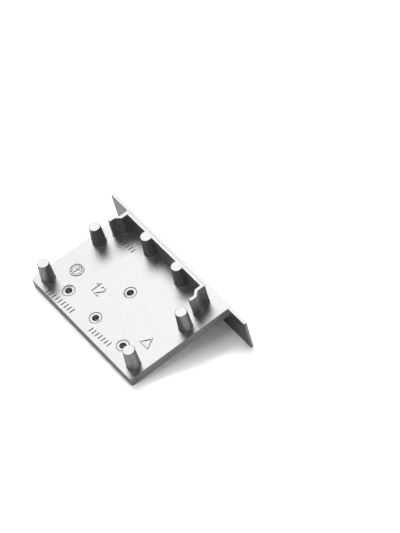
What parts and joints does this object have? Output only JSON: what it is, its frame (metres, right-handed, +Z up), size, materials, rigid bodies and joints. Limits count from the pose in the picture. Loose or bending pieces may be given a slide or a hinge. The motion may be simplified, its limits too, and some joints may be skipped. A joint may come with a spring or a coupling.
{
  "type": "profile end cap",
  "caption": "Moulded end cap for a hollow profile: a cover plate with press-in pins, a bent locating wall and an overhanging flange.",
  "frame": {"origin": "on the surface that the cap lies on, below the middle of its outline", "axes": "+X along the flange, +Y level from the plate's free edge towards the flange, +Z up; the plate slopes down from the flange as the cap lies at rest"},
  "size_m": [0.044, 0.0252, 0.0119],
  "materials": {
    "body": "satin"
  },
  "bodies": {
    "root": {"end_cap": "body"}
  },
  "joints": []
}
